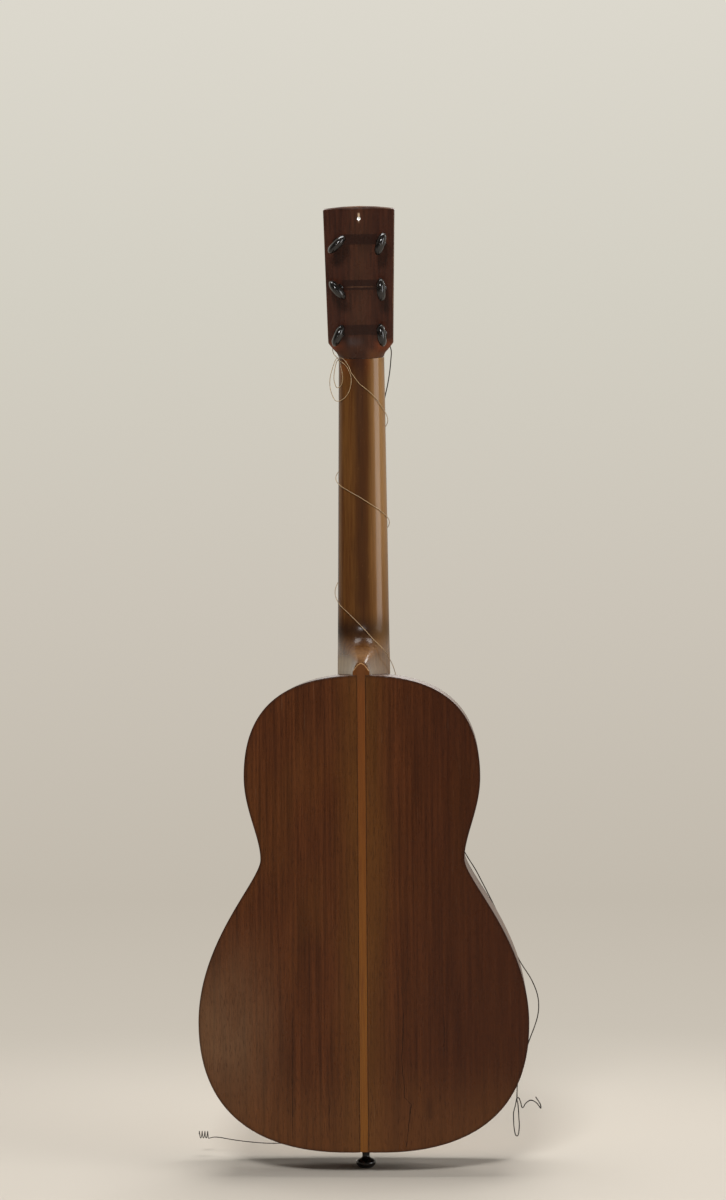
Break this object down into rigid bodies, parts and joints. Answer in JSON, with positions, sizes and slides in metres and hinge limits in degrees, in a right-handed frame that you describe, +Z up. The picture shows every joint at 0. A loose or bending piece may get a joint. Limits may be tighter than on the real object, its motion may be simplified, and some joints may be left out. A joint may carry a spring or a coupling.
{
  "type": "guitar",
  "caption": "Small-bodied parlour guitar with friction pegs, pin bridge, centre-stripped back and end button; some strings hang loose.",
  "frame": {"origin": "centre of the end button's flat face, which the guitar stands on", "axes": "+Z up the neck, +Y out through the soundboard, +X towards the bass side"},
  "size_m": [0.3473, 0.1068, 0.9542],
  "materials": {
    "back_and_rib_wood": "satin varnish",
    "strip_wood": "satin varnish",
    "neck_wood": "gloss varnish",
    "head_wood": "gloss varnish",
    "spruce": "satin varnish",
    "rosette_wood": "satin",
    "inner_wood": "bare",
    "black_wood": "polished",
    "bone": "polished",
    "gut": "satin",
    "wound_string": "tarnished"
  },
  "bodies": {
    "guitar": {"back_bass": "back_and_rib_wood", "back_brace_1": "inner_wood", "back_brace_2": "inner_wood", "back_brace_3": "inner_wood", "back_brace_4": "inner_wood", "back_lining_bass": "inner_wood", "back_lining_treble": "inner_wood", "back_strip": "strip_wood", "back_treble": "back_and_rib_wood", "binding_bass": "black_wood", "binding_treble": "black_wood", "bridge": "black_wood", "bridge_plate": "inner_wood", "fingerboard": "black_wood", "head": "head_wood", "neck": "neck_wood", "neck_block": "inner_wood", "nut": "bone", "rib_bass": "back_and_rib_wood", "rib_treble": "back_and_rib_wood", "rosette": "rosette_wood", "saddle": "bone", "soundboard_bass": "spruce", "soundboard_brace_1": "inner_wood", "soundboard_brace_2": "inner_wood", "soundboard_brace_3": "inner_wood", "soundboard_brace_4": "inner_wood", "soundboard_lining_bass": "inner_wood", "soundboard_lining_treble": "inner_wood", "soundboard_treble": "spruce", "string_A_curl": "wound_string", "string_A_loose": "wound_string", "string_B": "gut", "string_D": "wound_string", "string_E_kinked_end": "wound_string", "string_E_loose": "wound_string", "string_G": "gut", "string_e_looped": "gut", "string_e_wound_round_neck": "gut", "tail_block": "inner_wood"},
    "peg_e_body": {"peg_e": "black_wood", "winding_e": "gut"},
    "peg_B_body": {"peg_B": "black_wood", "winding_B": "gut"},
    "peg_G_body": {"peg_G": "black_wood", "winding_G": "gut"},
    "peg_D_body": {"peg_D": "black_wood", "winding_D": "wound_string"},
    "peg_A_body": {"peg_A": "black_wood"},
    "peg_E_body": {"peg_E": "black_wood", "winding_E": "wound_string"},
    "bridge_pin_e_body": {"bridge_pin_e": "black_wood"},
    "bridge_pin_B_body": {"bridge_pin_B": "black_wood"},
    "bridge_pin_G_body": {"bridge_pin_G": "black_wood"},
    "bridge_pin_D_body": {"bridge_pin_D": "black_wood"},
    "bridge_pin_A_body": {"bridge_pin_A": "black_wood"},
    "bridge_pin_E_body": {"bridge_pin_E": "black_wood"},
    "end_button_body": {"end_button": "black_wood"}
  },
  "joints": [
    {"name": "peg_e_turn", "type": "hinge", "parent": "guitar", "child": "peg_e_body", "pos_m": [-0.0215, 0.0408, 0.83145], "axis": [0, 0.9781, 0.2079], "continuous": true},
    {"name": "peg_B_turn", "type": "hinge", "parent": "guitar", "child": "peg_B_body", "pos_m": [-0.0215, 0.03145, 0.87547], "axis": [0, 0.9781, 0.2079], "continuous": true},
    {"name": "peg_G_turn", "type": "hinge", "parent": "guitar", "child": "peg_G_body", "pos_m": [-0.0215, 0.02209, 0.91949], "axis": [0, 0.9781, 0.2079], "continuous": true},
    {"name": "peg_D_turn", "type": "hinge", "parent": "guitar", "child": "peg_D_body", "pos_m": [0.0215, 0.02209, 0.91949], "axis": [0, 0.9781, 0.2079], "continuous": true},
    {"name": "peg_A_turn", "type": "hinge", "parent": "guitar", "child": "peg_A_body", "pos_m": [0.0215, 0.03145, 0.87547], "axis": [0, 0.9781, 0.2079], "continuous": true},
    {"name": "peg_E_turn", "type": "hinge", "parent": "guitar", "child": "peg_E_body", "pos_m": [0.0215, 0.0408, 0.83145], "axis": [0, 0.9781, 0.2079], "continuous": true},
    {"name": "bridge_pin_e_pull", "type": "slide", "parent": "guitar", "child": "bridge_pin_e_body", "axis": [0, 1, 0], "range_m": [0, 0.024]},
    {"name": "bridge_pin_B_pull", "type": "slide", "parent": "guitar", "child": "bridge_pin_B_body", "axis": [0, 1, 0], "range_m": [0, 0.024]},
    {"name": "bridge_pin_G_pull", "type": "slide", "parent": "guitar", "child": "bridge_pin_G_body", "axis": [0, 1, 0], "range_m": [0, 0.024]},
    {"name": "bridge_pin_D_pull", "type": "slide", "parent": "guitar", "child": "bridge_pin_D_body", "axis": [0, 1, 0], "range_m": [0, 0.024]},
    {"name": "bridge_pin_A_pull", "type": "slide", "parent": "guitar", "child": "bridge_pin_A_body", "axis": [0, 1, 0], "range_m": [0, 0.024]},
    {"name": "bridge_pin_E_pull", "type": "slide", "parent": "guitar", "child": "bridge_pin_E_body", "axis": [0, 1, 0], "range_m": [0, 0.024]},
    {"name": "end_button_pull", "type": "slide", "parent": "guitar", "child": "end_button_body", "axis": [0, 0, -1], "range_m": [0, 0.02]}
  ]
}
